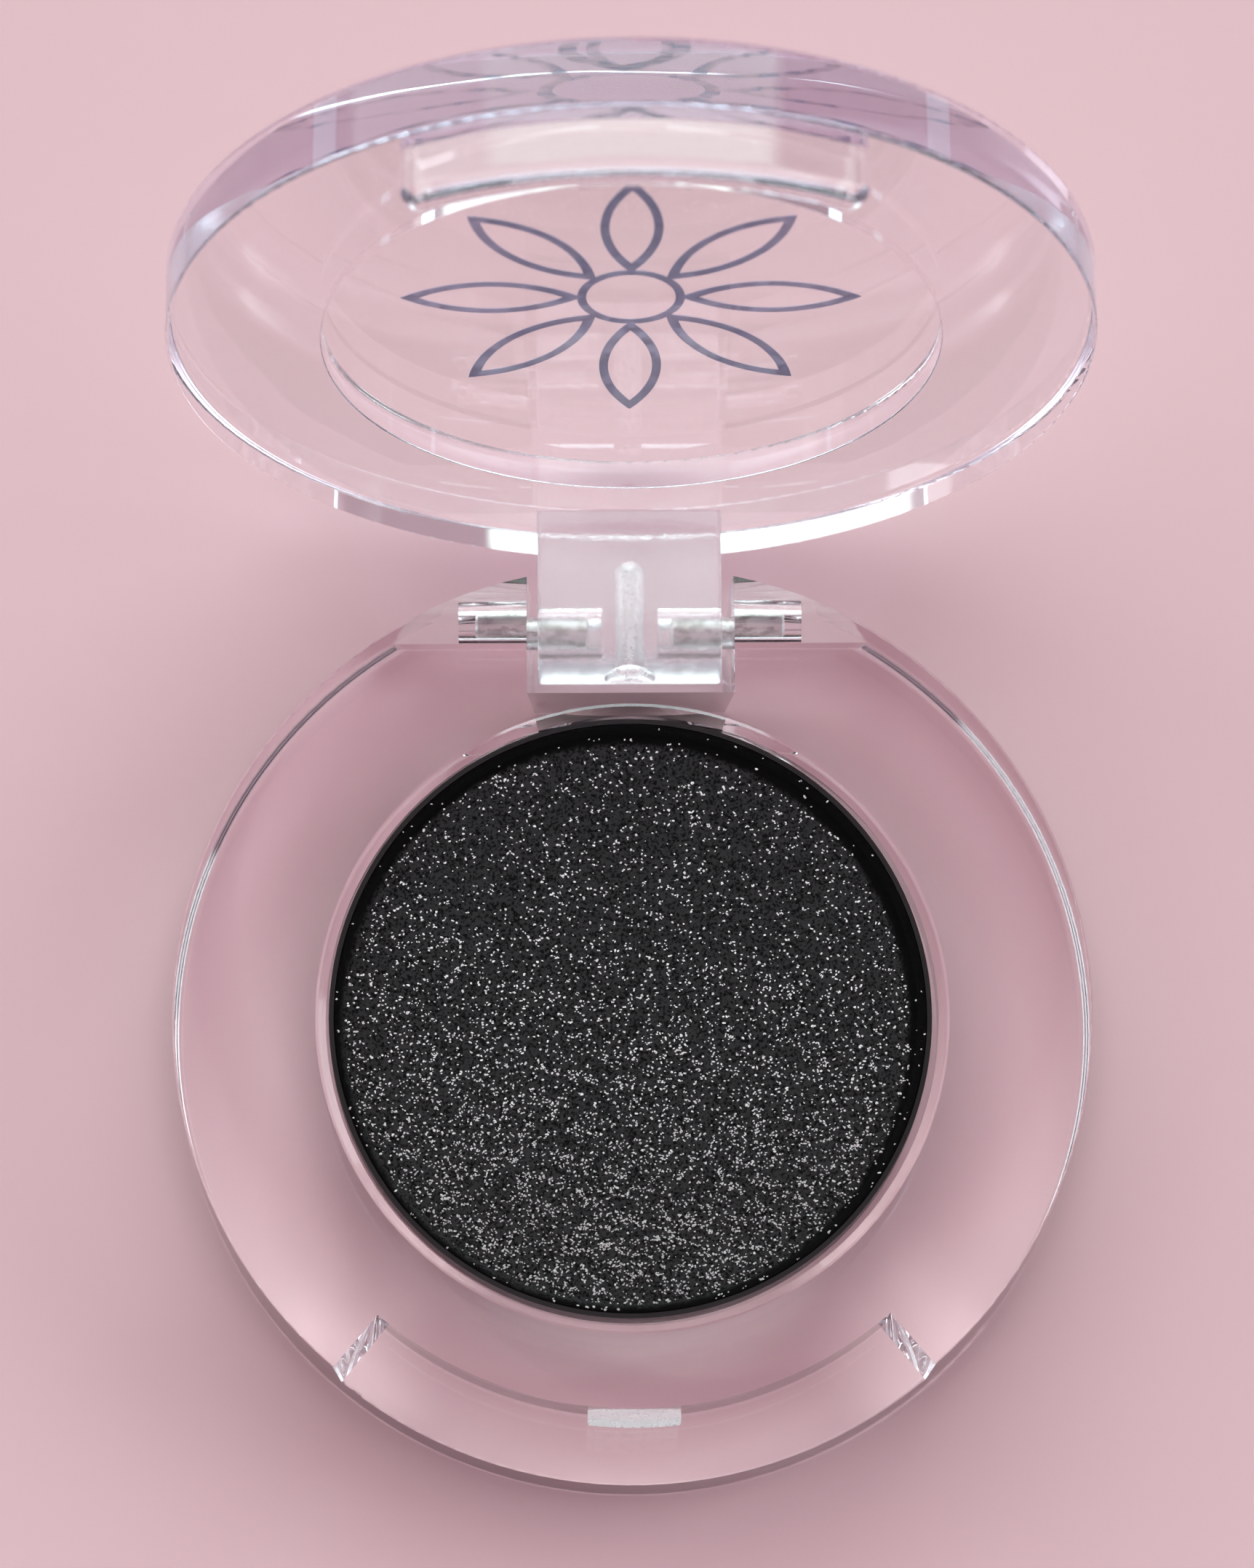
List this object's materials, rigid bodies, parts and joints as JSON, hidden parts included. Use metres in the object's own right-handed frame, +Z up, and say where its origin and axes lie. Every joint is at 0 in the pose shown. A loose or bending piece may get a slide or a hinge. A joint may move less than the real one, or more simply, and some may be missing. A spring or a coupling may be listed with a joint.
{
  "type": "eyeshadow compact",
  "caption": "Round clear plastic eyeshadow compact with a hinged lid standing open, a snap catch in a front finger recess and a pan of pressed black powder.",
  "frame": {"origin": "centre of the base's underside, on the surface the compact stands on", "axes": "+Z up, -Y towards the front finger recess, hinge along X at the rear"},
  "size_m": [0.0564, 0.0817, 0.0558],
  "materials": {
    "clear_plastic": "clear and polished",
    "print_ink": "satin printed ink",
    "pin_steel": "ground",
    "pan_metal": "black gloss",
    "powder": "matt black with silver flecks",
    "adhesive": "matt"
  },
  "bodies": {
    "base": {"base": "clear_plastic", "hinge_pin_left": "pin_steel", "hinge_pin_right": "pin_steel", "pan": "pan_metal", "pressed_powder": "powder", "pan_adhesive": "adhesive"},
    "lid": {"lid": "clear_plastic", "lid_print": "print_ink"}
  },
  "joints": [
    {"name": "lid_hinge", "type": "hinge", "parent": "base", "child": "lid", "pos_m": [0, 0.0248, 0.0072], "axis": [-1, 0, 0], "range_deg": [-109.5, 0]}
  ]
}
